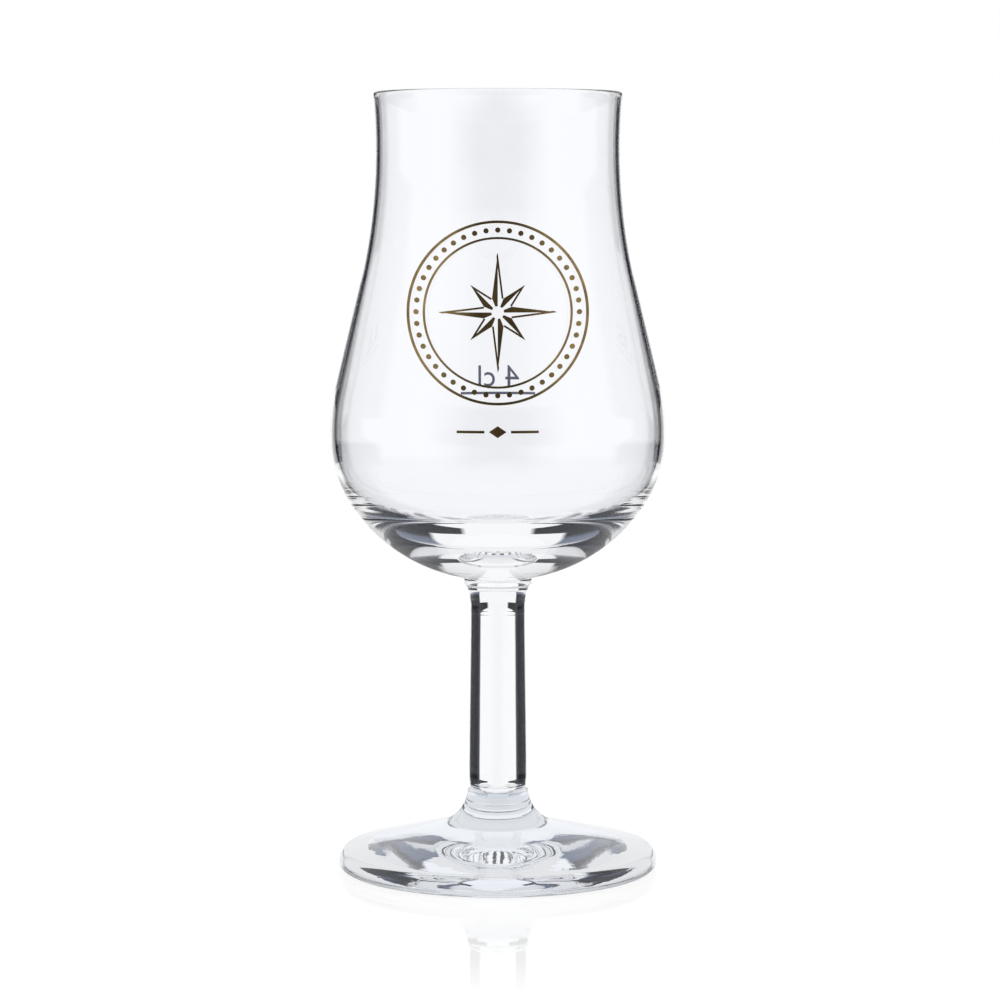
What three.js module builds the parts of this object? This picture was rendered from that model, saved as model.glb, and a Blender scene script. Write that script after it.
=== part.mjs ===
// Spirit tasting glass: a blown tulip bowl on a drawn stem and a pressed foot, hot welded into one glass.
// Millimetres, +Z up. The foot stands on z = 0, the axis is x = y = 0 and the printed front faces -Y.
import * as THREE from "three";
import { TessellateModifier } from "three/addons/modifiers/TessellateModifier.js";

// Foot: a shallow cone with a rounded edge, hollowed below, that runs up into a boss under the stem
const footDiameter = 53.5;
const footEdgeHeight = 1.2;
const footEdgeLowerRound = 1.7;
const footEdgeUpperRound = 1.35;
const footEdgeThickness = 3.5;
const footTopSlopeDegrees = 14.5;
const footRestDiameter = 42;
const footHollowDepth = 0.8;
const bossFilletRadius = 6.4;
const bossDiameter = 10.25;
const bossShoulder = 0.4;
const weldDiameter = 8.9;

// Stem: thickest near the foot, slimmest below the bowl, with a flared head that carries the bowl
const stemLength = 35.45;
const stemEndDiameter = 9.4;
const stemEndBevel = 0.25;
const stemLowerDiameter = 9.65;
const stemSwellHeight = 4.2;
const stemSlimDiameter = 9.1;
const stemSlimHeight = 26.5;
const stemHeadDiameter = 11.5;
const stemHeadEdge = 0.95;
const stemHeadFlare = 4.8;

// Bowl: outside
const bowlSeatDiameter = 10.8;
const bellyDiameter = 56;
const bellyRise = 24.4;
const bellyCurve = 32.6;
const flankTiltDegrees = 13.65;
const waistDiameter = 40.5;
const waistCurve = 97;
const rimRise = 8.6;

// Bowl: inside
const baseThickness = 6.8;
const bellyWall = 1.2;
const rimWall = 0.8;
const floorSpread = 17.5;
const floorCornerDrop = 13.8;

// Fired prints on the outside of the bowl
const printThickness = 0.1;
const printGap = 0.05;
const printEdgeLength = 2.4;
const printCurveSteps = 28;
const printSplits = 14;
const emblemRise = 45.2;
const emblemDiameter = 29.2;
const emblemLineWidth = 0.45;
const emblemBandWidth = 2.2;
const emblemInnerLineWidth = 0.35;
const starLongDiameter = 19;
const starShortDiameter = 12.4;
const starWaistDiameter = 4.8;
const starEyeDiameter = 2;
const pendantRise = 26.4;
const lozengeWidth = 2.8;
const lozengeHeight = 1.9;
const pendantBarLength = 4.4;
const pendantBarWidth = 0.42;
const pendantBarGap = 0.7;
const fillLineRise = 28.75;
const fillLineLength = 13.4;
const fillLineWidth = 0.45;

// Facets around the axis
const bowlFacets = 60;
const stemFacets = 40;
const footFacets = 60;

// Sizes that follow from the ones above
const footRadius = footDiameter / 2;
const restRadius = footRestDiameter / 2;
const hollowCurve = (restRadius ** 2 + footHollowDepth ** 2) / (2 * footHollowDepth);
const footTopSlope = THREE.MathUtils.degToRad(footTopSlopeDegrees);
const bossRadius = bossDiameter / 2;
const weldRadius = weldDiameter / 2;
const shoulderAngle = Math.asin(bossShoulder / bossFilletRadius);
const footShoulderRadius = footRadius - footEdgeUpperRound;
const filletCentreRadius = bossRadius + bossFilletRadius;
const coneTopRadius = filletCentreRadius - bossFilletRadius * Math.sin(footTopSlope);
const coneTopHeight = footEdgeThickness + (footShoulderRadius - coneTopRadius) * Math.tan(footTopSlope);
const footHeight = coneTopHeight + bossFilletRadius * Math.cos(footTopSlope);
const stemTop = footHeight + stemLength;
const bellyRadius = bellyDiameter / 2;
const bellyHeight = stemTop + bellyRise;
const seatRadius = bowlSeatDiameter / 2;
const seatAngle = Math.acos(seatRadius / bellyRadius);
const bowlDepth = bellyRise / Math.sin(seatAngle);
const flankTilt = THREE.MathUtils.degToRad(flankTiltDegrees);
const bellyCentre = bellyRadius - bellyCurve;
const waistCentre = waistDiameter / 2 + waistCurve;
const flankFoot = point(
  bellyCentre + bellyCurve * Math.cos(flankTilt),
  bellyHeight + bellyCurve * Math.sin(flankTilt),
);
const flankHeadRadius = waistCentre - waistCurve * Math.cos(flankTilt);
const flankHead = point(
  flankHeadRadius,
  flankFoot.y + (flankFoot.x - flankHeadRadius) / Math.tan(flankTilt),
);
const waistHeight = flankHead.y + waistCurve * Math.sin(flankTilt);
const rimAngle = Math.asin(rimRise / waistCurve);

function point(radius, height) {
  return new THREE.Vector2(radius, height);
}

function line(from, to) {
  return new THREE.LineCurve(from, to);
}

function bend(from, leave, arrive, to) {
  return new THREE.CubicBezierCurve(from, leave, arrive, to);
}

function oval(radius, height, across, up, start, end) {
  return new THREE.EllipseCurve(radius, height, across, up, start, end, end < start);
}

function arc(radius, height, size, start, end) {
  return oval(radius, height, size, size, start, end);
}

// Joins curves, each with its own number of steps, into one outline
function outline(pieces) {
  const points = [];
  for (const [curve, steps] of pieces) {
    const run = curve.getPoints(steps);
    points.push(...(points.length > 0 ? run.slice(1) : run));
  }
  return points;
}

// Turns an outline about the axis and stands it upright
function turned(points, facets) {
  return new THREE.LatheGeometry(points, facets).rotateX(Math.PI / 2);
}

function footOutline() {
  const restAngle = Math.acos(restRadius / hollowCurve);
  const lower = footRadius - footEdgeLowerRound;
  const upperRise = footEdgeThickness - footEdgeHeight;
  const bossEdge = filletCentreRadius - bossFilletRadius * Math.cos(shoulderAngle);
  return outline([
    [arc(0, footHollowDepth - hollowCurve, hollowCurve, Math.PI / 2, restAngle), 5],
    [line(point(restRadius, 0), point(lower, 0)), 1],
    [oval(lower, footEdgeHeight, footEdgeLowerRound, footEdgeHeight, -Math.PI / 2, 0), 4],
    [oval(footShoulderRadius, footEdgeHeight, footEdgeUpperRound, upperRise, 0, Math.PI / 2), 4],
    [line(point(footShoulderRadius, footEdgeThickness), point(coneTopRadius, coneTopHeight)), 2],
    [arc(filletCentreRadius, footHeight, bossFilletRadius, -Math.PI / 2 - footTopSlope, shoulderAngle - Math.PI), 9],
    [line(point(bossEdge, footHeight - bossShoulder), point(weldRadius, footHeight)), 1],
    [line(point(weldRadius, footHeight), point(0, footHeight)), 1],
  ]);
}

function stemOutline() {
  const slim = stemSlimDiameter / 2;
  const head = stemHeadDiameter / 2;
  const headUnder = stemTop - stemHeadEdge;
  const flareStart = headUnder - stemHeadFlare;
  const stemEnd = point(stemEndDiameter / 2, footHeight + stemEndBevel);
  const side = new THREE.SplineCurve([
    stemEnd,
    point(stemLowerDiameter / 2, footHeight + stemSwellHeight),
    point(slim, footHeight + stemSlimHeight),
    point(slim, flareStart),
  ]);
  return outline([
    [line(point(0, footHeight), point(weldRadius, footHeight)), 1],
    [line(point(weldRadius, footHeight), stemEnd), 1],
    [side, 9],
    [oval(head, flareStart, head - slim, stemHeadFlare, Math.PI, Math.PI / 2), 7],
    [line(point(head, headUnder), point(head, stemTop)), 1],
    [line(point(head, stemTop), point(0, stemTop)), 1],
  ]);
}

function bowlOutside() {
  return outline([
    [oval(0, bellyHeight, bellyRadius, bowlDepth, -seatAngle, 0), 13],
    [arc(bellyCentre, bellyHeight, bellyCurve, 0, flankTilt), 3],
    [line(flankFoot, flankHead), 1],
    [arc(waistCentre, waistHeight, waistCurve, Math.PI + flankTilt, Math.PI - rimAngle), 6],
  ]);
}

function bowlOutline() {
  const innerBelly = bellyCurve - bellyWall;
  const innerWaist = waistCurve + rimWall;
  const across = waistCentre - bellyCentre;
  const up = waistHeight - bellyHeight;
  const innerTilt = Math.atan2(up, across) - Math.acos((innerBelly + innerWaist) / Math.hypot(across, up));
  const innerFoot = point(
    bellyCentre + innerBelly * Math.cos(innerTilt),
    bellyHeight + innerBelly * Math.sin(innerTilt),
  );
  const innerHead = point(
    waistCentre - innerWaist * Math.cos(innerTilt),
    waistHeight - innerWaist * Math.sin(innerTilt),
  );
  const lipCentre = waistCurve + rimWall / 2;
  const lip = point(waistCentre - lipCentre * Math.cos(rimAngle), waistHeight + lipCentre * Math.sin(rimAngle));
  const innerRadius = bellyRadius - bellyWall;
  const floorHeight = stemTop + baseThickness;
  const inside = outline([
    [arc(lip.x, lip.y, rimWall / 2, -rimAngle, Math.PI - rimAngle), 5],
    [arc(waistCentre, waistHeight, innerWaist, Math.PI - rimAngle, Math.PI + innerTilt), 6],
    [line(innerHead, innerFoot), 1],
    [arc(bellyCentre, bellyHeight, innerBelly, innerTilt, 0), 3],
    [bend(
      point(innerRadius, bellyHeight),
      point(innerRadius, bellyHeight - floorCornerDrop),
      point(floorSpread, floorHeight),
      point(0, floorHeight),
    ), 12],
  ]);
  return [point(0, stemTop), ...bowlOutside(), ...inside.slice(1)];
}

// Radius of the bowl's outer skin at a height
function skinRadius(height) {
  const skin = bowlOutside();
  const above = Math.max(1, skin.findIndex((p) => p.y >= height));
  const low = skin[above - 1];
  const high = skin[above];
  return THREE.MathUtils.mapLinear(height, low.y, high.y, low.x, high.x);
}

// Lays a flat shape, drawn as it looks from straight in front, on the bowl's skin; facing -1 is the front, 1 the back
function printed(shape, rise, facing) {
  const flat = new THREE.ExtrudeGeometry(shape, { depth: printThickness, bevelEnabled: false, curveSegments: printCurveSteps });
  const cut = new TessellateModifier(printEdgeLength, printSplits).modify(flat);
  const place = cut.getAttribute("position");
  for (let i = 0; i < place.count; i += 1) {
    const height = stemTop + rise + place.getY(i);
    const skin = skinRadius(height);
    const turn = Math.asin(place.getX(i) / skin);
    const reach = skin + printGap + place.getZ(i);
    place.setXYZ(i, -facing * reach * Math.sin(turn), facing * reach * Math.cos(turn), height);
  }
  cut.computeVertexNormals();
  return cut;
}

function ringShape(diameter, width) {
  const shape = new THREE.Shape().absarc(0, 0, diameter / 2, 0, 2 * Math.PI, false);
  shape.holes.push(new THREE.Path().absarc(0, 0, diameter / 2 - width, 0, 2 * Math.PI, true));
  return shape;
}

// Eight-pointed compass star with four long and four short points and a round eye
function starShape() {
  const corners = [];
  for (let i = 0; i < 16; i += 1) {
    const tip = i % 4 === 0 ? starLongDiameter : starShortDiameter;
    const reach = (i % 2 === 0 ? tip : starWaistDiameter) / 2;
    const angle = (i * Math.PI) / 8;
    corners.push(point(reach * Math.cos(angle), reach * Math.sin(angle)));
  }
  const shape = new THREE.Shape(corners);
  shape.holes.push(new THREE.Path().absarc(0, 0, starEyeDiameter / 2, 0, 2 * Math.PI, true));
  return shape;
}

function lozengeShape() {
  return new THREE.Shape([
    point(lozengeWidth / 2, 0),
    point(0, lozengeHeight / 2),
    point(-lozengeWidth / 2, 0),
    point(0, -lozengeHeight / 2),
  ]);
}

function barShape(start, length, width) {
  return new THREE.Shape([
    point(start, -width / 2),
    point(start + length, -width / 2),
    point(start + length, width / 2),
    point(start, width / 2),
  ]);
}

const clearGlass = new THREE.MeshStandardMaterial({ name: "clear_glass", color: 0xe6eaf2, roughness: 0.05 });
clearGlass.transparent = true;
clearGlass.opacity = 0.45;
const goldPrint = new THREE.MeshStandardMaterial({ name: "gold_print", color: 0x8a6a2a, roughness: 0.3, metalness: 1 });
const bluePrint = new THREE.MeshStandardMaterial({ name: "blue_print", color: 0x2c3f9a, roughness: 0.5 });

const glass = new THREE.Group();
glass.name = "spirit_tasting_glass";

function add(name, geometry, material) {
  const piece = new THREE.Mesh(geometry, material);
  piece.name = name;
  glass.add(piece);
}

const innerBandDiameter = emblemDiameter - 2 * emblemLineWidth - 2 * emblemBandWidth;
const barStart = lozengeWidth / 2 + pendantBarGap;
const leftBarStart = -barStart - pendantBarLength;

add("foot", turned(footOutline(), footFacets), clearGlass);
add("stem", turned(stemOutline(), stemFacets), clearGlass);
add("bowl", turned(bowlOutline(), bowlFacets), clearGlass);
add("emblem_outer_ring", printed(ringShape(emblemDiameter, emblemLineWidth), emblemRise, -1), goldPrint);
add("emblem_inner_ring", printed(ringShape(innerBandDiameter, emblemInnerLineWidth), emblemRise, -1), goldPrint);
add("emblem_star", printed(starShape(), emblemRise, -1), goldPrint);
add("pendant_lozenge", printed(lozengeShape(), pendantRise, -1), goldPrint);
add("pendant_bar_left", printed(barShape(leftBarStart, pendantBarLength, pendantBarWidth), pendantRise, -1), goldPrint);
add("pendant_bar_right", printed(barShape(barStart, pendantBarLength, pendantBarWidth), pendantRise, -1), goldPrint);
add("fill_line", printed(barShape(-fillLineLength / 2, fillLineLength, fillLineWidth), fillLineRise, 1), bluePrint);

export default glass;
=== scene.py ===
# Spirit tasting glass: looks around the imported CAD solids. Metres, +Z up, the printed front faces -Y.
import math

import bpy
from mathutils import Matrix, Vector


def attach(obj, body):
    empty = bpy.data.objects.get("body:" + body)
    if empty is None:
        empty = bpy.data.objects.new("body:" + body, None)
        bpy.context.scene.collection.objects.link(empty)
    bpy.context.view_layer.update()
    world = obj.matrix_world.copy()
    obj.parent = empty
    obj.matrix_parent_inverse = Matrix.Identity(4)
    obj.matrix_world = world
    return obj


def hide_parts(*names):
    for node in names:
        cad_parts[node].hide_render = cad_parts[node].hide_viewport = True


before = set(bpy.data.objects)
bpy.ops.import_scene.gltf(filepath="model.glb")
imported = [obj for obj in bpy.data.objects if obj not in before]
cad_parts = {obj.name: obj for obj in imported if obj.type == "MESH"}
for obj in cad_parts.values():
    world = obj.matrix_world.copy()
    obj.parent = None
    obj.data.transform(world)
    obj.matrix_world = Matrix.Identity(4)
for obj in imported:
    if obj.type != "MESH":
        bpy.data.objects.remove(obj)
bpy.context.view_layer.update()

MM = 0.001
FRONT, BACK = -1, 1

# Sizes of the glass in millimetres, as in the part's source. The rim is 0.01 lower, as the lip is rounder.
FOOT_DIAMETER = 53.5
FOOT_EDGE_HEIGHT = 1.2
FOOT_EDGE_LOWER_ROUND = 1.7
FOOT_EDGE_UPPER_ROUND = 1.35
FOOT_EDGE_THICKNESS = 3.5
FOOT_TOP_SLOPE = math.radians(14.5)
FOOT_REST_DIAMETER = 42
FOOT_HOLLOW_DEPTH = 0.8
BOSS_FILLET = 6.4
BOSS_DIAMETER = 10.25
BOSS_SHOULDER = 0.4
WELD_DIAMETER = 8.9
STEM_LENGTH = 35.45
STEM_END_DIAMETER = 9.4
STEM_END_BEVEL = 0.25
STEM_LOWER_DIAMETER = 9.65
STEM_SWELL_HEIGHT = 4.2
STEM_SLIM_DIAMETER = 9.1
STEM_SLIM_HEIGHT = 26.5
STEM_HEAD_DIAMETER = 11.5
STEM_HEAD_EDGE = 0.95
STEM_HEAD_FLARE = 4.8
BOWL_SEAT_DIAMETER = 10.8
BELLY_DIAMETER = 56
BELLY_RISE = 24.4
BELLY_CURVE = 32.6
FLANK_TILT = math.radians(13.65)
WAIST_DIAMETER = 40.5
WAIST_CURVE = 97
RIM_RISE = 8.59
BASE_THICKNESS = 6.8
BELLY_WALL = 1.2
RIM_WALL = 0.8
FLOOR_SPREAD = 17.5
FLOOR_CORNER_DROP = 13.8

# Fired prints, in millimetres
PRINT_THICKNESS = 0.09
PRINT_GAP = 0.03
EMBLEM_RISE = 45.2
EMBLEM_DIAMETER = 29.2
EMBLEM_LINE = 0.42
EMBLEM_BAND = 2.2
EMBLEM_INNER_LINE = 0.35
STAR_POINTS = 8
STAR_LONG = 19
STAR_SHORT = 12.4
STAR_WAIST = 4.8
STAR_EYE = 2
STAR_LINE = 0.3
STAR_LINE_TAPER = 0.6
BEADS = 44
BEAD_DIAMETER = 0.85
PENDANT_RISE = 26.4
LOZENGE_WIDTH = 2.8
LOZENGE_HEIGHT = 1.9
PENDANT_BAR_LENGTH = 4.4
PENDANT_BAR_WIDTH = 0.42
PENDANT_BAR_GAP = 0.7
FILL_LINE_RISE = 28.75
FILL_LINE_LENGTH = 13.4
FILL_LINE_WIDTH = 0.45
CAPACITY_TEXT = "4 cl"
CAPACITY_RISE = 1.2
CAPACITY_HEIGHT = 5.4

# Fineness of the meshes, with lengths in metres apart from the outlines' shortest step in millimetres
SHORTEST_STEP = 1e-4
FOOT_FACETS, STEM_FACETS, BOWL_FACETS = 192, 128, 224
BEAD_CORNERS = 14
RING_STEPS, INNER_RING_STEPS = 200, 180
PENDANT_BAR_STEPS, FILL_LINE_STEPS = 10, 28
SHARP_FOLD = math.radians(30)
SAME_POINT = 1e-7
AT_WELD = 1e-6
PRINT_THROW = 2.0

# Sizes that follow
foot_radius = FOOT_DIAMETER / 2
rest_radius = FOOT_REST_DIAMETER / 2
hollow_curve = (rest_radius**2 + FOOT_HOLLOW_DEPTH**2) / (2 * FOOT_HOLLOW_DEPTH)
boss_radius = BOSS_DIAMETER / 2
weld_radius = WELD_DIAMETER / 2
shoulder_angle = math.asin(BOSS_SHOULDER / BOSS_FILLET)
shoulder_radius = foot_radius - FOOT_EDGE_UPPER_ROUND
fillet_centre = boss_radius + BOSS_FILLET
cone_top_radius = fillet_centre - BOSS_FILLET * math.sin(FOOT_TOP_SLOPE)
cone_top_height = FOOT_EDGE_THICKNESS + (shoulder_radius - cone_top_radius) * math.tan(FOOT_TOP_SLOPE)
foot_height = cone_top_height + BOSS_FILLET * math.cos(FOOT_TOP_SLOPE)
stem_top = foot_height + STEM_LENGTH
head_radius = STEM_HEAD_DIAMETER / 2
seat_radius = BOWL_SEAT_DIAMETER / 2
belly_radius = BELLY_DIAMETER / 2
belly_height = stem_top + BELLY_RISE
belly_centre = belly_radius - BELLY_CURVE
waist_centre = WAIST_DIAMETER / 2 + WAIST_CURVE
flank_foot = (
    belly_centre + BELLY_CURVE * math.cos(FLANK_TILT),
    belly_height + BELLY_CURVE * math.sin(FLANK_TILT),
)
flank_head_radius = waist_centre - WAIST_CURVE * math.cos(FLANK_TILT)
flank_head = (flank_head_radius, flank_foot[1] + (flank_foot[0] - flank_head_radius) / math.tan(FLANK_TILT))
waist_height = flank_head[1] + WAIST_CURVE * math.sin(FLANK_TILT)
rim_angle = math.asin(RIM_RISE / WAIST_CURVE)
inner_ring_diameter = EMBLEM_DIAMETER - 2 * EMBLEM_LINE - 2 * EMBLEM_BAND
bead_band_radius = EMBLEM_DIAMETER / 2 - EMBLEM_LINE - EMBLEM_BAND / 2
bar_start = LOZENGE_WIDTH / 2 + PENDANT_BAR_GAP


# Outlines, as runs of (radius, height) points
def line(start, end, steps):
    return [tuple(a + (b - a) * i / steps for a, b in zip(start, end)) for i in range(steps + 1)]


def oval(radius, height, across, up, start, end, steps):
    turns = [start + (end - start) * i / steps for i in range(steps + 1)]
    return [(radius + across * math.cos(t), height + up * math.sin(t)) for t in turns]


def arc(radius, height, size, start, end, steps):
    return oval(radius, height, size, size, start, end, steps)


def bend(start, leave, arrive, end, steps):
    run = []
    for i in range(steps + 1):
        t = i / steps
        weights = ((1 - t) ** 3, 3 * (1 - t) ** 2 * t, 3 * (1 - t) * t**2, t**3)
        run.append(tuple(sum(w * p[k] for w, p in zip(weights, (start, leave, arrive, end))) for k in (0, 1)))
    return run


def through(points, steps):
    """Smooth run through points, with even tangents."""
    run = [points[0]]
    for i in range(len(points) - 1):
        before, here = points[max(i - 1, 0)], points[i]
        there, after = points[i + 1], points[min(i + 2, len(points) - 1)]
        for step in range(1, steps + 1):
            t = step / steps
            run.append(tuple(
                here[k] * (2 * t**3 - 3 * t**2 + 1)
                + (there[k] - before[k]) / 2 * (t**3 - 2 * t**2 + t)
                + there[k] * (3 * t**2 - 2 * t**3)
                + (after[k] - here[k]) / 2 * (t**3 - t**2)
                for k in (0, 1)
            ))
    return run


def outline(*runs):
    points = []
    for point in (p for run in runs for p in run):
        if not points or math.dist(points[-1], point) > SHORTEST_STEP:
            points.append(point)
    return points


def foot_outline():
    lower = foot_radius - FOOT_EDGE_LOWER_ROUND
    upper_rise = FOOT_EDGE_THICKNESS - FOOT_EDGE_HEIGHT
    hollow_end = math.acos(rest_radius / hollow_curve)
    fillet_start = -math.pi / 2 - FOOT_TOP_SLOPE
    fillet_end = shoulder_angle - math.pi
    return outline(
        arc(0, FOOT_HOLLOW_DEPTH - hollow_curve, hollow_curve, math.pi / 2, hollow_end, steps=24),
        line((rest_radius, 0), (lower, 0), steps=6),
        oval(lower, FOOT_EDGE_HEIGHT, FOOT_EDGE_LOWER_ROUND, FOOT_EDGE_HEIGHT, -math.pi / 2, 0, steps=14),
        oval(shoulder_radius, FOOT_EDGE_HEIGHT, FOOT_EDGE_UPPER_ROUND, upper_rise, 0, math.pi / 2, steps=14),
        line((shoulder_radius, FOOT_EDGE_THICKNESS), (cone_top_radius, cone_top_height), steps=24),
        arc(fillet_centre, foot_height, BOSS_FILLET, fillet_start, fillet_end, steps=36),
        line((weld_radius, foot_height), (0, foot_height), steps=4),
    )


def stem_outline():
    slim = STEM_SLIM_DIAMETER / 2
    head_under = stem_top - STEM_HEAD_EDGE
    flare_start = head_under - STEM_HEAD_FLARE
    side = through([
        (STEM_END_DIAMETER / 2, foot_height + STEM_END_BEVEL),
        (STEM_LOWER_DIAMETER / 2, foot_height + STEM_SWELL_HEIGHT),
        (slim, foot_height + STEM_SLIM_HEIGHT),
        (slim, flare_start),
    ], steps=20)
    return outline(
        line((0, foot_height), (weld_radius, foot_height), steps=4),
        side,
        oval(head_radius, flare_start, head_radius - slim, STEM_HEAD_FLARE, math.pi, math.pi / 2, steps=24),
        [(head_radius, stem_top)],
        line((seat_radius, stem_top), (0, stem_top), steps=4),
    )


def bowl_outline():
    inner_belly = BELLY_CURVE - BELLY_WALL
    inner_waist = WAIST_CURVE + RIM_WALL
    across = waist_centre - belly_centre
    up = waist_height - belly_height
    inner_tilt = math.atan2(up, across) - math.acos((inner_belly + inner_waist) / math.hypot(across, up))
    inner_foot = (
        belly_centre + inner_belly * math.cos(inner_tilt),
        belly_height + inner_belly * math.sin(inner_tilt),
    )
    inner_head = (
        waist_centre - inner_waist * math.cos(inner_tilt),
        waist_height - inner_waist * math.sin(inner_tilt),
    )
    lip_curve = WAIST_CURVE + RIM_WALL / 2
    lip_radius = waist_centre - lip_curve * math.cos(rim_angle)
    lip_height = waist_height + lip_curve * math.sin(rim_angle)
    inner_radius = belly_radius - BELLY_WALL
    floor_height = stem_top + BASE_THICKNESS
    seat_angle = math.acos(seat_radius / belly_radius)
    depth = BELLY_RISE / math.sin(seat_angle)
    return outline(
        line((0, stem_top), (seat_radius, stem_top), steps=4),
        oval(0, belly_height, belly_radius, depth, -seat_angle, 0, steps=128),
        arc(belly_centre, belly_height, BELLY_CURVE, 0, FLANK_TILT, steps=12),
        line(flank_foot, flank_head, steps=6),
        arc(waist_centre, waist_height, WAIST_CURVE, math.pi + FLANK_TILT, math.pi - rim_angle, steps=32),
        arc(lip_radius, lip_height, RIM_WALL / 2, -rim_angle, math.pi - rim_angle, steps=16),
        arc(waist_centre, waist_height, inner_waist, math.pi - rim_angle, math.pi + inner_tilt, steps=32),
        line(inner_head, inner_foot, steps=6),
        arc(belly_centre, belly_height, inner_belly, inner_tilt, 0, steps=12),
        bend(
            (inner_radius, belly_height),
            (inner_radius, belly_height - FLOOR_CORNER_DROP),
            (FLOOR_SPREAD, floor_height),
            (0, floor_height),
            steps=144,
        ),
    )


# Node trees
def node(tree, kind, inputs=None, **settings):
    made = tree.nodes.new(kind)
    for name, value in settings.items():
        setattr(made, name, value)
    for name, value in (inputs or {}).items():
        socket = made.inputs[name]
        if isinstance(value, bpy.types.NodeSocket):
            tree.links.new(value, socket)
        else:
            socket.default_value = value
    return made


def reckon(tree, operation, *values):
    compares = operation == "LESS_THAN" and tree.bl_idname == "GeometryNodeTree"
    made = tree.nodes.new("FunctionNodeCompare" if compares else "ShaderNodeMath")
    made.operation = operation
    for socket, value in zip(made.inputs, values):
        if isinstance(value, bpy.types.NodeSocket):
            tree.links.new(value, socket)
        else:
            socket.default_value = value
    return made.outputs[0]


def graded(tree, value, start, end, first=0.0, last=1.0):
    """Goes evenly from first to last while the value goes from start to end."""
    return node(tree, "ShaderNodeMapRange", {
        "Value": value, "From Min": start, "From Max": end, "To Min": first, "To Max": last,
    }).outputs[0]


def parts_of(tree, vector):
    return node(tree, "ShaderNodeSeparateXYZ", {"Vector": vector}).outputs


def geometry_tree(name, sockets):
    tree = bpy.data.node_groups.new(name, "GeometryNodeTree")
    tree.is_modifier = True
    for label, kind in sockets:
        tree.interface.new_socket(label, in_out="INPUT", socket_type="NodeSocket" + kind)
    tree.interface.new_socket("Piece", in_out="OUTPUT", socket_type="NodeSocketGeometry")
    given = tree.nodes.new("NodeGroupInput").outputs
    return tree, given


def ends_in(tree, geometry, material):
    whole = node(tree, "GeometryNodeRealizeInstances", {"Geometry": geometry})
    dressed = node(tree, "GeometryNodeSetMaterial", {"Geometry": whole.outputs[0], "Material": material})
    return dressed.outputs[0]


def on_weld(tree, given, place):
    """True on the flat faces where two pieces of glass are welded."""
    parts = parts_of(tree, place)
    across = reckon(tree, "MULTIPLY", parts[0], parts[0])
    along = reckon(tree, "MULTIPLY", parts[1], parts[1])
    reach = reckon(tree, "SQRT", reckon(tree, "ADD", across, along))
    off_lower = reckon(tree, "ABSOLUTE", reckon(tree, "SUBTRACT", parts[2], given["Lower weld"]))
    off_upper = reckon(tree, "ABSOLUTE", reckon(tree, "SUBTRACT", parts[2], given["Upper weld"]))
    level = reckon(tree, "LESS_THAN", reckon(tree, "MINIMUM", off_lower, off_upper), AT_WELD)
    within = reckon(tree, "LESS_THAN", reach, given["Weld radius"])
    return node(tree, "FunctionNodeBooleanMath", {0: level, 1: within}, operation="AND").outputs[0]


def turned_tree():
    """Turns an outline, a row of points in the XZ plane, about the Z axis into a closed piece."""
    tree, given = geometry_tree("turned_glass", [
        ("Outline", "Geometry"), ("Facets", "Int"), ("Glass", "Material"), ("Weld", "Material"),
        ("Weld radius", "Float"), ("Lower weld", "Float"), ("Upper weld", "Float"),
    ])
    size = node(tree, "GeometryNodeAttributeDomainSize", {"Geometry": given["Outline"]})
    rows = size.outputs["Point Count"]
    columns = reckon(tree, "ADD", given["Facets"], 1)
    sheet = node(tree, "GeometryNodeMeshGrid", {"Vertices X": rows, "Vertices Y": columns})
    index = node(tree, "GeometryNodeInputIndex").outputs[0]
    row = reckon(tree, "FLOOR", reckon(tree, "DIVIDE", reckon(tree, "ADD", index, 0.5), columns))
    column = reckon(tree, "SUBTRACT", index, reckon(tree, "MULTIPLY", row, columns))
    angle = reckon(tree, "MULTIPLY", reckon(tree, "DIVIDE", column, given["Facets"]), 2 * math.pi)
    place = node(tree, "GeometryNodeInputPosition").outputs[0]
    sampled = node(tree, "GeometryNodeSampleIndex", {
        "Geometry": given["Outline"], "Index": row,
    }, data_type="FLOAT_VECTOR")
    tree.links.new(place, sampled.inputs["Value"])
    swung = node(tree, "ShaderNodeVectorRotate", {
        "Vector": sampled.outputs[0], "Angle": angle,
    }, rotation_type="Z_AXIS")
    spun = node(tree, "GeometryNodeSetPosition", {
        "Geometry": sheet.outputs["Mesh"], "Position": swung.outputs[0],
    })
    closed = node(tree, "GeometryNodeMergeByDistance", {"Geometry": spun.outputs[0], "Distance": SAME_POINT})
    outward = node(tree, "GeometryNodeFlipFaces", {"Mesh": closed.outputs[0]})
    smooth = node(tree, "GeometryNodeSetShadeSmooth", {"Geometry": outward.outputs[0], "Shade Smooth": True})
    fold = node(tree, "GeometryNodeInputMeshEdgeAngle").outputs["Unsigned Angle"]
    soft = node(tree, "GeometryNodeSetShadeSmooth", {"Geometry": smooth.outputs[0]}, domain="EDGE")
    tree.links.new(reckon(tree, "LESS_THAN", fold, SHARP_FOLD), soft.inputs["Shade Smooth"])
    glass = ends_in(tree, soft.outputs[0], given["Glass"])
    welded = node(tree, "GeometryNodeSetMaterial", {
        "Geometry": glass, "Selection": on_weld(tree, given, place), "Material": given["Weld"],
    })
    node(tree, "NodeGroupOutput", {"Piece": welded.outputs[0]})
    return tree


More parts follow.
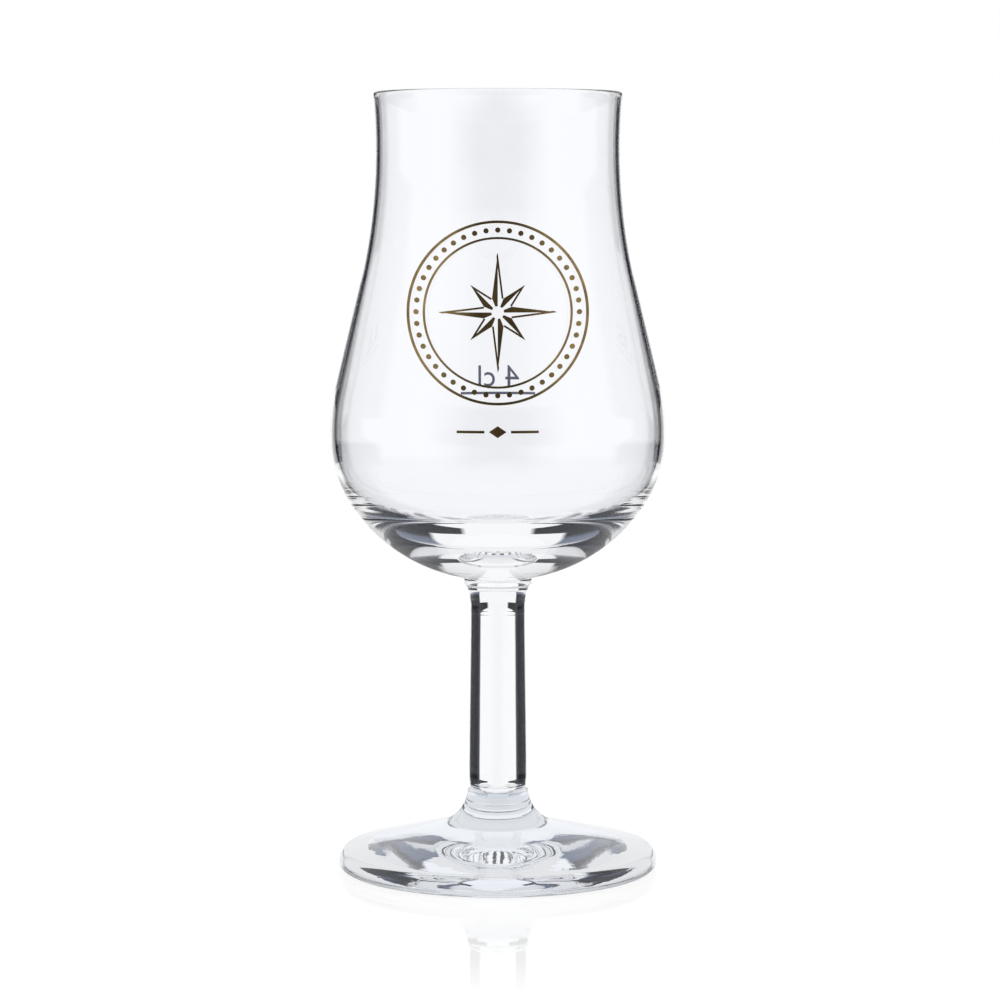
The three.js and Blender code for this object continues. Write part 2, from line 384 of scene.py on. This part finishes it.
def skin_print_tree():
    """Lays a flat drawing, x right and z up as seen from in front of it, on the bowl and thickens it."""
    tree, given = geometry_tree("print_on_skin", [
        ("Drawing", "Geometry"), ("Bowl", "Object"), ("Facing", "Float"), ("Cuts", "Int"),
        ("Gap", "Float"), ("Thickness", "Float"), ("Print", "Material"),
    ])
    bowl = node(tree, "GeometryNodeObjectInfo", {"Object": given["Bowl"]}).outputs["Geometry"]
    fine = node(tree, "GeometryNodeSubdivideMesh", {"Mesh": given["Drawing"], "Level": given["Cuts"]})
    drawn = parts_of(tree, node(tree, "GeometryNodeInputPosition").outputs[0])
    aside = reckon(tree, "MULTIPLY", reckon(tree, "MULTIPLY", drawn[0], given["Facing"]), -1)
    start = node(tree, "ShaderNodeCombineXYZ", {"X": aside, "Y": given["Facing"], "Z": drawn[2]})
    inward = node(tree, "ShaderNodeCombineXYZ", {"Y": reckon(tree, "MULTIPLY", given["Facing"], -1)})
    met = node(tree, "GeometryNodeRaycast", {
        "Target Geometry": bowl, "Source Position": start.outputs[0],
        "Ray Direction": inward.outputs[0], "Ray Length": PRINT_THROW,
    })
    lift = node(tree, "ShaderNodeVectorMath", {
        0: met.outputs["Hit Normal"], "Scale": given["Gap"],
    }, operation="SCALE")
    laid = node(tree, "GeometryNodeSetPosition", {
        "Geometry": fine.outputs[0], "Position": met.outputs["Hit Position"], "Offset": lift.outputs[0],
    })
    thick = node(tree, "GeometryNodeExtrudeMesh", {
        "Mesh": laid.outputs[0], "Offset Scale": given["Thickness"], "Individual": False,
    }, mode="FACES")
    under = node(tree, "GeometryNodeFlipFaces", {"Mesh": laid.outputs[0]})
    both = node(tree, "GeometryNodeJoinGeometry")
    tree.links.new(under.outputs[0], both.inputs[0])
    tree.links.new(thick.outputs["Mesh"], both.inputs[0])
    closed = node(tree, "GeometryNodeMergeByDistance", {"Geometry": both.outputs[0], "Distance": SAME_POINT})
    flat = node(tree, "GeometryNodeSetShadeSmooth", {"Geometry": closed.outputs[0], "Shade Smooth": False})
    node(tree, "NodeGroupOutput", {"Piece": ends_in(tree, flat.outputs[0], given["Print"])})
    return tree


def bead_band_tree(skin_print):
    """A ring of round beads, laid on the bowl."""
    tree, given = geometry_tree("bead_band", [
        ("Start", "Geometry"), ("Bowl", "Object"), ("Beads", "Int"), ("Band radius", "Float"),
        ("Bead radius", "Float"), ("Centre height", "Float"), ("Gap", "Float"), ("Thickness", "Float"),
        ("Print", "Material"),
    ])
    places = node(tree, "GeometryNodeMeshCircle", {
        "Vertices": given["Beads"], "Radius": given["Band radius"],
    })
    bead = node(tree, "GeometryNodeMeshCircle", {
        "Vertices": BEAD_CORNERS, "Radius": given["Bead radius"],
    }, fill_type="NGON")
    strung = node(tree, "GeometryNodeInstanceOnPoints", {
        "Points": places.outputs[0], "Instance": bead.outputs[0],
    })
    loose = node(tree, "GeometryNodeRealizeInstances", {"Geometry": strung.outputs[0]})
    lying = parts_of(tree, node(tree, "GeometryNodeInputPosition").outputs[0])
    height = reckon(tree, "ADD", lying[1], given["Centre height"])
    upright = node(tree, "ShaderNodeCombineXYZ", {"X": lying[0], "Z": height})
    stood = node(tree, "GeometryNodeSetPosition", {
        "Geometry": loose.outputs[0], "Position": upright.outputs[0],
    })
    laid = node(tree, "GeometryNodeGroup", node_tree=skin_print)
    for name, value in {
        "Drawing": stood.outputs[0], "Bowl": given["Bowl"], "Gap": given["Gap"],
        "Thickness": given["Thickness"], "Print": given["Print"],
    }.items():
        tree.links.new(value, laid.inputs[name])
    laid.inputs["Facing"].default_value = FRONT
    laid.inputs["Cuts"].default_value = 0
    node(tree, "NodeGroupOutput", {"Piece": ends_in(tree, laid.outputs[0], given["Print"])})
    return tree


def made_piece(name, mesh, tree, values):
    """Runs a tree on a mesh and keeps the result as a plain mesh."""
    piece = bpy.data.objects.new(name, mesh)
    bpy.context.scene.collection.objects.link(piece)
    maker = piece.modifiers.new("maker", "NODES")
    maker.node_group = tree
    for item in tree.interface.items_tree:
        if item.in_out == "INPUT" and item.name in values:
            maker[item.identifier] = values[item.name]
    depsgraph = bpy.context.evaluated_depsgraph_get()
    whole = bpy.data.meshes.new_from_object(
        piece.evaluated_get(depsgraph), preserve_all_data_layers=True, depsgraph=depsgraph
    )
    piece.modifiers.clear()
    piece.data = whole
    whole.name = name
    return piece


# Materials
GLASS_TINT = (0.978, 0.984, 1.0, 1.0)
FOOT_TINT = (0.86, 0.895, 0.95, 1.0)
GLASS_IOR = 1.52
DRAW_MARK_SHARE = 0.12


def material(name):
    made = bpy.data.materials.new(name)
    made.use_nodes = True
    return made, made.node_tree, made.node_tree.nodes["Principled BSDF"]


def shader_group(name, inputs, outputs):
    group = bpy.data.node_groups.new(name, "ShaderNodeTree")
    for label, value in inputs:
        group.interface.new_socket(label, in_out="INPUT", socket_type="NodeSocketFloat").default_value = value
    for label in outputs:
        group.interface.new_socket(label, in_out="OUTPUT", socket_type="NodeSocketFloat")
    return group, group.nodes.new("NodeGroupInput").outputs, group.nodes.new("NodeGroupOutput")


def noise(group, place, scale, detail):
    made = node(group, "ShaderNodeTexNoise", {"Vector": place, "Scale": scale, "Detail": detail})
    return made.outputs["Fac"]


def glass_ripple_group():
    """Slow swells and fine draw marks, longer along the axis than round it."""
    sockets = [("Swell", 90.0), ("Draw", 600.0), ("Stretch", 0.2)]
    group, given, out = shader_group("glass_ripple", sockets, ["Height"])
    place = node(group, "ShaderNodeTexCoord").outputs["Object"]
    along = node(group, "ShaderNodeCombineXYZ", {"X": 1.0, "Y": 1.0, "Z": given["Stretch"]})
    drawn = node(group, "ShaderNodeVectorMath", {0: place, 1: along.outputs[0]}, operation="MULTIPLY")
    swell = noise(group, place, given["Swell"], detail=1.0)
    marks = noise(group, drawn.outputs[0], given["Draw"], detail=2.0)
    height = reckon(group, "ADD", swell, reckon(group, "MULTIPLY", marks, DRAW_MARK_SHARE))
    group.links.new(height, out.inputs["Height"])
    return group


def fired_film_group():
    """Mottle and pinholes of a thin fired film."""
    sockets = [("Grain", 2500.0), ("Mottle", 500.0)]
    group, given, out = shader_group("fired_film", sockets, ["Mottle", "Height"])
    place = node(group, "ShaderNodeTexCoord").outputs["Object"]
    group.links.new(noise(group, place, given["Mottle"], detail=2.0), out.inputs["Mottle"])
    group.links.new(noise(group, place, given["Grain"], detail=3.0), out.inputs["Height"])
    return group


glass_ripple = glass_ripple_group()
fired_film = fired_film_group()


def glass_material(name, tint, swell, draw, stretch, depth):
    made, tree, shader = material(name)
    shader.inputs["Base Color"].default_value = tint
    shader.inputs["Roughness"].default_value = 0.0
    shader.inputs["IOR"].default_value = GLASS_IOR
    shader.inputs["Transmission Weight"].default_value = 1.0
    ripple = node(tree, "ShaderNodeGroup", node_tree=glass_ripple)
    for label, value in (("Swell", swell), ("Draw", draw), ("Stretch", stretch)):
        ripple.inputs[label].default_value = value
    bump = node(tree, "ShaderNodeBump", {"Height": ripple.outputs[0], "Distance": depth})
    tree.links.new(bump.outputs[0], shader.inputs["Normal"])
    return made


def weld_material():
    made, _, shader = material("weld_seam")
    shader.inputs["Base Color"].default_value = GLASS_TINT
    shader.inputs["Alpha"].default_value = 0.0
    return made


def print_material(name, light, dark, metallic, smoothest, roughest, lift):
    made, tree, shader = material(name)
    film = node(tree, "ShaderNodeGroup", node_tree=fired_film)
    colour = node(tree, "ShaderNodeMix", {"Factor": film.outputs["Mottle"]}, data_type="RGBA")
    colour.inputs["A"].default_value = light
    colour.inputs["B"].default_value = dark
    tree.links.new(colour.outputs["Result"], shader.inputs["Base Color"])
    shader.inputs["Metallic"].default_value = metallic
    rough = graded(tree, film.outputs["Mottle"], 0.0, 1.0, smoothest, roughest)
    tree.links.new(rough, shader.inputs["Roughness"])
    bump = node(tree, "ShaderNodeBump", {"Height": film.outputs["Height"], "Distance": lift})
    tree.links.new(bump.outputs[0], shader.inputs["Normal"])
    return made


bowl_glass = glass_material("bowl_glass", GLASS_TINT, swell=45.0, draw=500.0, stretch=0.1, depth=0.000006)
stem_glass = glass_material("stem_glass", GLASS_TINT, swell=170.0, draw=900.0, stretch=0.5, depth=0.00003)
foot_glass = glass_material("foot_glass", FOOT_TINT, swell=100.0, draw=330.0, stretch=1.0, depth=0.00013)
weld_seam = weld_material()
gold_film = print_material(
    "gold_film", light=(0.44, 0.3, 0.12, 1), dark=(0.06, 0.044, 0.028, 1),
    metallic=1.0, smoothest=0.1, roughest=0.26, lift=0.000004,
)
blue_enamel = print_material(
    "blue_enamel", light=(0.03, 0.045, 0.19, 1), dark=(0.05, 0.065, 0.22, 1),
    metallic=0.0, smoothest=0.35, roughest=0.6, lift=0.000004,
)


# Pieces of glass
turned_glass = turned_tree()


def turned_piece(name, points, glass, weld_reach, lower_weld, upper_weld, facets):
    mesh = bpy.data.meshes.new(name + "_outline")
    links = [(i, i + 1) for i in range(len(points) - 1)]
    mesh.from_pydata([(r * MM, 0, z * MM) for r, z in points], links, [])
    return made_piece(name, mesh, turned_glass, {
        "Facets": facets, "Glass": glass, "Weld": weld_seam, "Weld radius": weld_reach * MM,
        "Lower weld": lower_weld * MM, "Upper weld": upper_weld * MM,
    })


foot = turned_piece(
    "foot_pressed", foot_outline(), foot_glass, weld_radius, foot_height, foot_height, FOOT_FACETS
)
stem = turned_piece("stem_drawn", stem_outline(), stem_glass, seat_radius, foot_height, stem_top, STEM_FACETS)
bowl = turned_piece("bowl_blown", bowl_outline(), bowl_glass, seat_radius, stem_top, stem_top, BOWL_FACETS)

# Prints on the bowl
skin_print = skin_print_tree()
bead_band = bead_band_tree(skin_print)


def drawing(name, rise, loops):
    """A flat mesh in the XZ plane from loops of (x, z) points in millimetres about a height on the bowl."""
    points, faces = [], []
    for loop in loops:
        faces.append(range(len(points), len(points) + len(loop)))
        points += [(x * MM, 0, (stem_top + rise + z) * MM) for x, z in loop]
    mesh = bpy.data.meshes.new(name + "_drawing")
    mesh.from_pydata(points, [], faces)
    return mesh


def printed(name, mesh, film, facing, cuts):
    return made_piece(name, mesh, skin_print, {
        "Bowl": bowl, "Facing": float(facing), "Cuts": cuts, "Gap": PRINT_GAP * MM,
        "Thickness": PRINT_THICKNESS * MM, "Print": film,
    })


def gold_print(name, rise, loops, cuts=0):
    return printed(name, drawing(name, rise, loops), gold_film, FRONT, cuts)


def polar(reach, angle):
    return (reach * math.cos(angle), reach * math.sin(angle))


def ring_loops(diameter, width, steps):
    outer, inner = diameter / 2, diameter / 2 - width
    turns = [2 * math.pi * i / steps for i in range(steps + 1)]
    return [
        [polar(inner, a), polar(outer, a), polar(outer, b), polar(inner, b)]
        for a, b in zip(turns, turns[1:])
    ]


def bar_loops(start, length, width, steps):
    cuts = [start + length * i / steps for i in range(steps + 1)]
    return [
        [(a, -width / 2), (b, -width / 2), (b, width / 2), (a, width / 2)]
        for a, b in zip(cuts, cuts[1:])
    ]


def star_loops():
    """Compass star: each point has one filled half and one half drawn as an outline."""
    loops = []
    half_step = math.pi / STAR_POINTS
    for i in range(STAR_POINTS):
        middle = i * 2 * half_step
        reach = (STAR_LONG if i % 2 == 0 else STAR_SHORT) / 2
        tip = Vector(polar(reach, middle))
        hub = Vector(polar(STAR_EYE / 2, middle))
        left = Vector(polar(STAR_WAIST / 2, middle + half_step))
        right = Vector(polar(STAR_WAIST / 2, middle - half_step))
        eye_left = Vector(polar(STAR_EYE / 2, middle + half_step))
        loops.append([tuple(p) for p in (hub, tip, left, eye_left)])
        edge = (tip - right).normalized()
        inward = Vector((-edge.y, edge.x)) * STAR_LINE
        loops.append([tuple(p) for p in (right, tip, tip - edge * STAR_LINE_TAPER + inward, right + inward)])
    return loops


def lozenge_loops():
    across, up = LOZENGE_WIDTH / 2, LOZENGE_HEIGHT / 2
    return [[(across, 0), (0, up), (-across, 0), (0, -up)]]


def capacity_drawing():
    text = bpy.data.curves.new("capacity", "FONT")
    text.body = CAPACITY_TEXT
    text.align_x = "CENTER"
    text.size = CAPACITY_HEIGHT * MM
    letters = bpy.data.objects.new("capacity", text)
    bpy.context.scene.collection.objects.link(letters)
    depsgraph = bpy.context.evaluated_depsgraph_get()
    mesh = bpy.data.meshes.new_from_object(letters.evaluated_get(depsgraph))
    bpy.data.objects.remove(letters)
    base = (stem_top + FILL_LINE_RISE + CAPACITY_RISE) * MM
    for vertex in mesh.vertices:
        vertex.co = (vertex.co.x, 0, base + vertex.co.y)
    return mesh


outer_ring = gold_print(
    "emblem_ring_outer", EMBLEM_RISE, ring_loops(EMBLEM_DIAMETER, EMBLEM_LINE, RING_STEPS)
)
inner_ring = gold_print(
    "emblem_ring_inner", EMBLEM_RISE, ring_loops(inner_ring_diameter, EMBLEM_INNER_LINE, INNER_RING_STEPS)
)
star = gold_print("emblem_compass_star", EMBLEM_RISE, star_loops(), cuts=3)
lozenge = gold_print("pendant_lozenge_print", PENDANT_RISE, lozenge_loops(), cuts=2)
bar_left = gold_print(
    "pendant_bar_left_print", PENDANT_RISE,
    bar_loops(-bar_start - PENDANT_BAR_LENGTH, PENDANT_BAR_LENGTH, PENDANT_BAR_WIDTH, PENDANT_BAR_STEPS),
)
bar_right = gold_print(
    "pendant_bar_right_print", PENDANT_RISE,
    bar_loops(bar_start, PENDANT_BAR_LENGTH, PENDANT_BAR_WIDTH, PENDANT_BAR_STEPS),
)
beads = made_piece("emblem_beads", bpy.data.meshes.new("beads_start"), bead_band, {
    "Bowl": bowl, "Beads": BEADS, "Band radius": bead_band_radius * MM,
    "Bead radius": BEAD_DIAMETER / 2 * MM, "Centre height": (stem_top + EMBLEM_RISE) * MM,
    "Gap": PRINT_GAP * MM, "Thickness": PRINT_THICKNESS * MM, "Print": gold_film,
})
fill_line_loops = bar_loops(-FILL_LINE_LENGTH / 2, FILL_LINE_LENGTH, FILL_LINE_WIDTH, FILL_LINE_STEPS)
fill_line = printed(
    "fill_line_print", drawing("fill_line", FILL_LINE_RISE, fill_line_loops), blue_enamel, BACK, cuts=0
)
capacity = printed("capacity_mark", capacity_drawing(), blue_enamel, BACK, cuts=1)

for piece, slot, nodes in (
    (foot, "clear_glass", ["foot"]),
    (stem, "clear_glass", ["stem"]),
    (bowl, "clear_glass", ["bowl"]),
    (outer_ring, "gold_print", ["emblem_outer_ring"]),
    (inner_ring, "gold_print", ["emblem_inner_ring"]),
    (star, "gold_print", ["emblem_star"]),
    (beads, "gold_print", []),
    (lozenge, "gold_print", ["pendant_lozenge"]),
    (bar_left, "gold_print", ["pendant_bar_left"]),
    (bar_right, "gold_print", ["pendant_bar_right"]),
    (fill_line, "blue_print", ["fill_line"]),
    (capacity, "blue_print", []),
):
    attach(piece, "root")
    if nodes:
        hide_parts(*nodes)


# Stage: a pale floor that mirrors at a low angle, and white light from behind between two dark screens.
# The mirror, the shade and the cards reach out from the axis in metres. STEEP and GRAZING are angles to the
# floor, and the other angles turn about the Z axis from 0 behind the glass.
FLOOR_SIZE = 40.0
FLOOR_GLOW, FLOOR_DIFFUSE = 0.9, 0.15
FLOOR_MIRROR, FLOOR_MIRROR_ROUGH = 0.26, 0.02
MIRROR_FROM, MIRROR_NEAR, MIRROR_FAR = 0.03, 0.056, 0.092
MIRROR_AT_FOOT = 0.3
STEEP, GRAZING = math.radians(17), math.radians(12)
FLOOR_IN_GLOSS = 0.3
# Painted shadow round the foot: near the axis the floor gives rays other than the camera's this share of its
# light, full again at SHADE_GONE
FOOT_SHADE = 0.8
SHADE_FULL, SHADE_GONE = 0.03, 0.07
CARD_START = (math.radians(26), math.radians(32))
CARD_END = (math.radians(75), math.radians(88))
CARD_FROM, CARD_FULL, CARD_DARK = 0.028, 0.045, 0.97

# Light around the glass. Stops are (degrees, level), and values named BELOW, ABOVE, FROM, FULL or GONE are
# heights of a ray's direction, from 0 for level to 1 for straight up.
BACKLIGHT = 1.0
BACKLIGHT_EDGE = (math.radians(28.5), math.radians(31))
BACKLIGHT_NARROWS = math.radians(15)
NARROW_BELOW, WIDE_ABOVE = 0.075, 0.115
SIDES = ((0, 0.012), (67, 0.012), (77, 1.0), (130, 1.0), (158, 0.18), (180, 0.18))
SIDES_LATER = math.radians(18)
SIDES_LATER_FROM, SIDES_LATER_FULL = 0.05, 0.1
SIDES_IN_GLOSS = ((0, 0.015), (29, 0.015), (37, 1.0), (128, 1.0), (160, 0.18), (180, 0.18))
GLOSS_BELOW, GLOSS_GONE = 0.085, 0.115
DARK_TINT, DARK_LEVEL = (0.8, 0.95, 1.5), 0.1
UPPER_DARK = (0.13, 0.16, 0.23)
UPPER_FROM, UPPER_FULL = 0.2, 0.3
OVERHEAD = 0.9
OVERHEAD_FROM, OVERHEAD_FULL = 0.52, 0.7

# Light Path depths. Ray Depth counts one more in the world than on the floor.
ANY_GLASS = 0.5
ONE_PIECE = 2.5
TWO_WALLS = 3.5
TURNED_INSIDE = 2.5
FIRST_GLOSS = 2.5
IN_AND_OUT, SAME_DEPTH = 3.0, 0.5
FEW_TURNS = 9.5
LIGHT_DEPTH = 32  # light turns many times inside the thick base and the foot

# Camera at the photograph's angle
CAMERA_PLACE = (0.00036, -0.5574, 0.1134)
CAMERA_DOWN = math.radians(5.25)
CAMERA_VIEW = math.radians(17)
SENSOR_WIDTH = 36


def grey(level):
    return (level, level, level, 1)


def product(tree, first, *others):
    for other in others:
        first = reckon(tree, "MULTIPLY", first, other)
    return first


def rest_of(tree, share):
    return reckon(tree, "SUBTRACT", 1.0, share)


def turn_of(tree, parts):
    return reckon(tree, "ABSOLUTE", reckon(tree, "ARCTAN2", parts[0], parts[1]))


def floor_for_camera(tree, reach, mirror):
    """White, with the glass's shadow and a reflection that fades with the reach."""
    fading = graded(tree, reach, MIRROR_NEAR, MIRROR_FAR, FLOOR_MIRROR, 0.0)
    rising = graded(tree, reach, MIRROR_FROM, MIRROR_NEAR, MIRROR_AT_FOOT, 1.0)
    glow = node(tree, "ShaderNodeEmission", {"Strength": FLOOR_GLOW}).outputs[0]
    matt = node(tree, "ShaderNodeBsdfDiffuse", {"Color": grey(FLOOR_DIFFUSE)}).outputs[0]
    white = node(tree, "ShaderNodeAddShader", {0: glow, 1: matt}).outputs[0]
    return node(tree, "ShaderNodeMixShader", {
        0: product(tree, fading, rising), 1: white, 2: mirror,
    }).outputs[0]


def floor_for_glass(tree, ray, place, reach, mirror):
    """White, a mirror at a low angle, darker in gloss, with a painted shadow round the foot, and with dark
    cards beside the glass for its base.
    """
    facing = node(tree, "ShaderNodeLayerWeight", {"Blend": 0.5}).outputs["Facing"]
    low = graded(tree, facing, 1 - math.sin(STEEP), 1 - math.sin(GRAZING))
    # Painted shadow round the foot: dimmer floor light near the axis
    shade = graded(tree, reach, SHADE_FULL, SHADE_GONE, FOOT_SHADE, 1.0)
    outside = reckon(tree, "LESS_THAN", ray["Transmission Depth"], ANY_GLASS)
    dimmed = rest_of(tree, product(tree, outside, 1 - FLOOR_IN_GLOSS))
    turn = turn_of(tree, parts_of(tree, place))
    card = product(
        tree,
        reckon(tree, "LESS_THAN", ray["Transmission Depth"], ONE_PIECE),
        reckon(tree, "GREATER_THAN", ray["Ray Depth"], TURNED_INSIDE),
        graded(tree, reach, CARD_FROM, CARD_FULL, 0.0, CARD_DARK),
        graded(tree, turn, *CARD_START),
        graded(tree, turn, *CARD_END, 1.0, 0.0),
    )
    strength = product(tree, rest_of(tree, card), shade, dimmed)
    pale = node(tree, "ShaderNodeEmission", {"Strength": strength}).outputs[0]
    return node(tree, "ShaderNodeMixShader", {0: low, 1: pale, 2: mirror}).outputs[0]


def floor():
    bpy.ops.mesh.primitive_plane_add(size=FLOOR_SIZE)
    made = bpy.context.object
    made.name = "floor"
    pale, tree, shader = material("pale_floor")
    tree.nodes.remove(shader)
    ray = node(tree, "ShaderNodeLightPath").outputs
    place = node(tree, "ShaderNodeTexCoord").outputs["Object"]
    reach = node(tree, "ShaderNodeVectorMath", {0: place}, operation="LENGTH").outputs["Value"]
    mirror = node(tree, "ShaderNodeBsdfGlossy", {
        "Roughness": FLOOR_MIRROR_ROUGH, "Color": (1, 1, 1, 1),
    }).outputs[0]
    both = node(tree, "ShaderNodeMixShader", {
        0: ray["Is Camera Ray"],
        1: floor_for_glass(tree, ray, place, reach, mirror),
        2: floor_for_camera(tree, reach, mirror),
    })
    tree.links.new(both.outputs[0], tree.nodes["Material Output"].inputs["Surface"])
    made.data.materials.append(pale)


def mixed(tree, factor, first, second, **settings):
    mix = node(tree, "ShaderNodeMix", {"Factor": factor}, data_type="RGBA", **settings)
    for label, value in (("A", first), ("B", second)):
        if isinstance(value, bpy.types.NodeSocket):
            tree.links.new(value, mix.inputs[label])
        else:
            mix.inputs[label].default_value = value
    return mix.outputs["Result"]


def screens(tree, stops, angle):
    """Levels around the glass, from stops of (degrees, level)."""
    around = node(tree, "ShaderNodeValToRGB", {"Fac": reckon(tree, "DIVIDE", angle, math.pi)})
    ramp = around.color_ramp.elements
    middle = [ramp.new(degrees / 180) for degrees, _ in stops[1:-1]]
    for stop, (_, level) in zip([ramp[0], *middle, ramp[-1]], stops):
        tint = DARK_TINT if level < DARK_LEVEL else (1, 1, 1)
        stop.color = (*(level * t for t in tint), 1)
    return around.outputs[0]


def backlight_share(tree, ray, turn, rise):
    """The white area behind the glass, narrower for level light unless it goes straight through."""
    low = graded(tree, rise, NARROW_BELOW, WIDE_ABOVE, BACKLIGHT_NARROWS, 0.0)
    straight = reckon(tree, "COMPARE", ray["Ray Depth"], IN_AND_OUT, SAME_DEPTH)
    narrowing = product(tree, low, rest_of(tree, straight))
    return graded(tree, reckon(tree, "ADD", turn, narrowing), *BACKLIGHT_EDGE, 1.0, 0.0)


def gloss_share(tree, ray, rise):
    """Light off the outside of the glass, and light through two walls of the bowl."""
    outside = reckon(tree, "LESS_THAN", ray["Transmission Depth"], ANY_GLASS)
    level = graded(tree, rise, GLOSS_BELOW, GLOSS_GONE, 1.0, 0.0)
    first = reckon(tree, "LESS_THAN", ray["Ray Depth"], FIRST_GLOSS)
    far_wall = product(
        tree,
        reckon(tree, "GREATER_THAN", ray["Transmission Depth"], TWO_WALLS),
        reckon(tree, "LESS_THAN", ray["Ray Depth"], FEW_TURNS),
    )
    return reckon(tree, "MAXIMUM", far_wall, product(tree, outside, reckon(tree, "MAXIMUM", level, first)))


def sky():
    world = bpy.data.worlds.new("studio")
    bpy.context.scene.world = world
    world.use_nodes = True
    tree = world.node_tree
    ray = node(tree, "ShaderNodeLightPath").outputs
    way = parts_of(tree, node(tree, "ShaderNodeTexCoord").outputs["Generated"])
    turn, rise = turn_of(tree, way), way[2]
    later = graded(tree, rise, SIDES_LATER_FROM, SIDES_LATER_FULL, 0.0, SIDES_LATER)
    upper = graded(tree, rise, UPPER_FROM, UPPER_FULL)
    sides = screens(tree, SIDES, reckon(tree, "SUBTRACT", turn, later))
    through_glass = mixed(tree, upper, sides, (*UPPER_DARK, 1), blend_type="LIGHTEN")
    around = mixed(tree, gloss_share(tree, ray, rise), through_glass, screens(tree, SIDES_IN_GLOSS, turn))
    backlit = mixed(tree, backlight_share(tree, ray, turn, rise), around, grey(BACKLIGHT))
    lit = mixed(tree, graded(tree, rise, OVERHEAD_FROM, OVERHEAD_FULL), backlit, grey(OVERHEAD))
    shown = mixed(tree, ray["Is Camera Ray"], lit, grey(1.0))
    tree.links.new(shown, tree.nodes["Background"].inputs["Color"])


def camera():
    lens = bpy.data.cameras.new("camera")
    lens.sensor_width = SENSOR_WIDTH
    lens.angle = CAMERA_VIEW
    made = bpy.data.objects.new("camera", lens)
    bpy.context.scene.collection.objects.link(made)
    made.location = CAMERA_PLACE
    made.rotation_euler = (math.pi / 2 - CAMERA_DOWN, 0, 0)
    bpy.context.scene.camera = made


floor()
sky()
camera()
bpy.context.scene.view_settings.view_transform = "Standard"
for depth in ("max_bounces", "glossy_bounces", "transmission_bounces"):
    setattr(bpy.context.scene.cycles, depth, LIGHT_DEPTH)
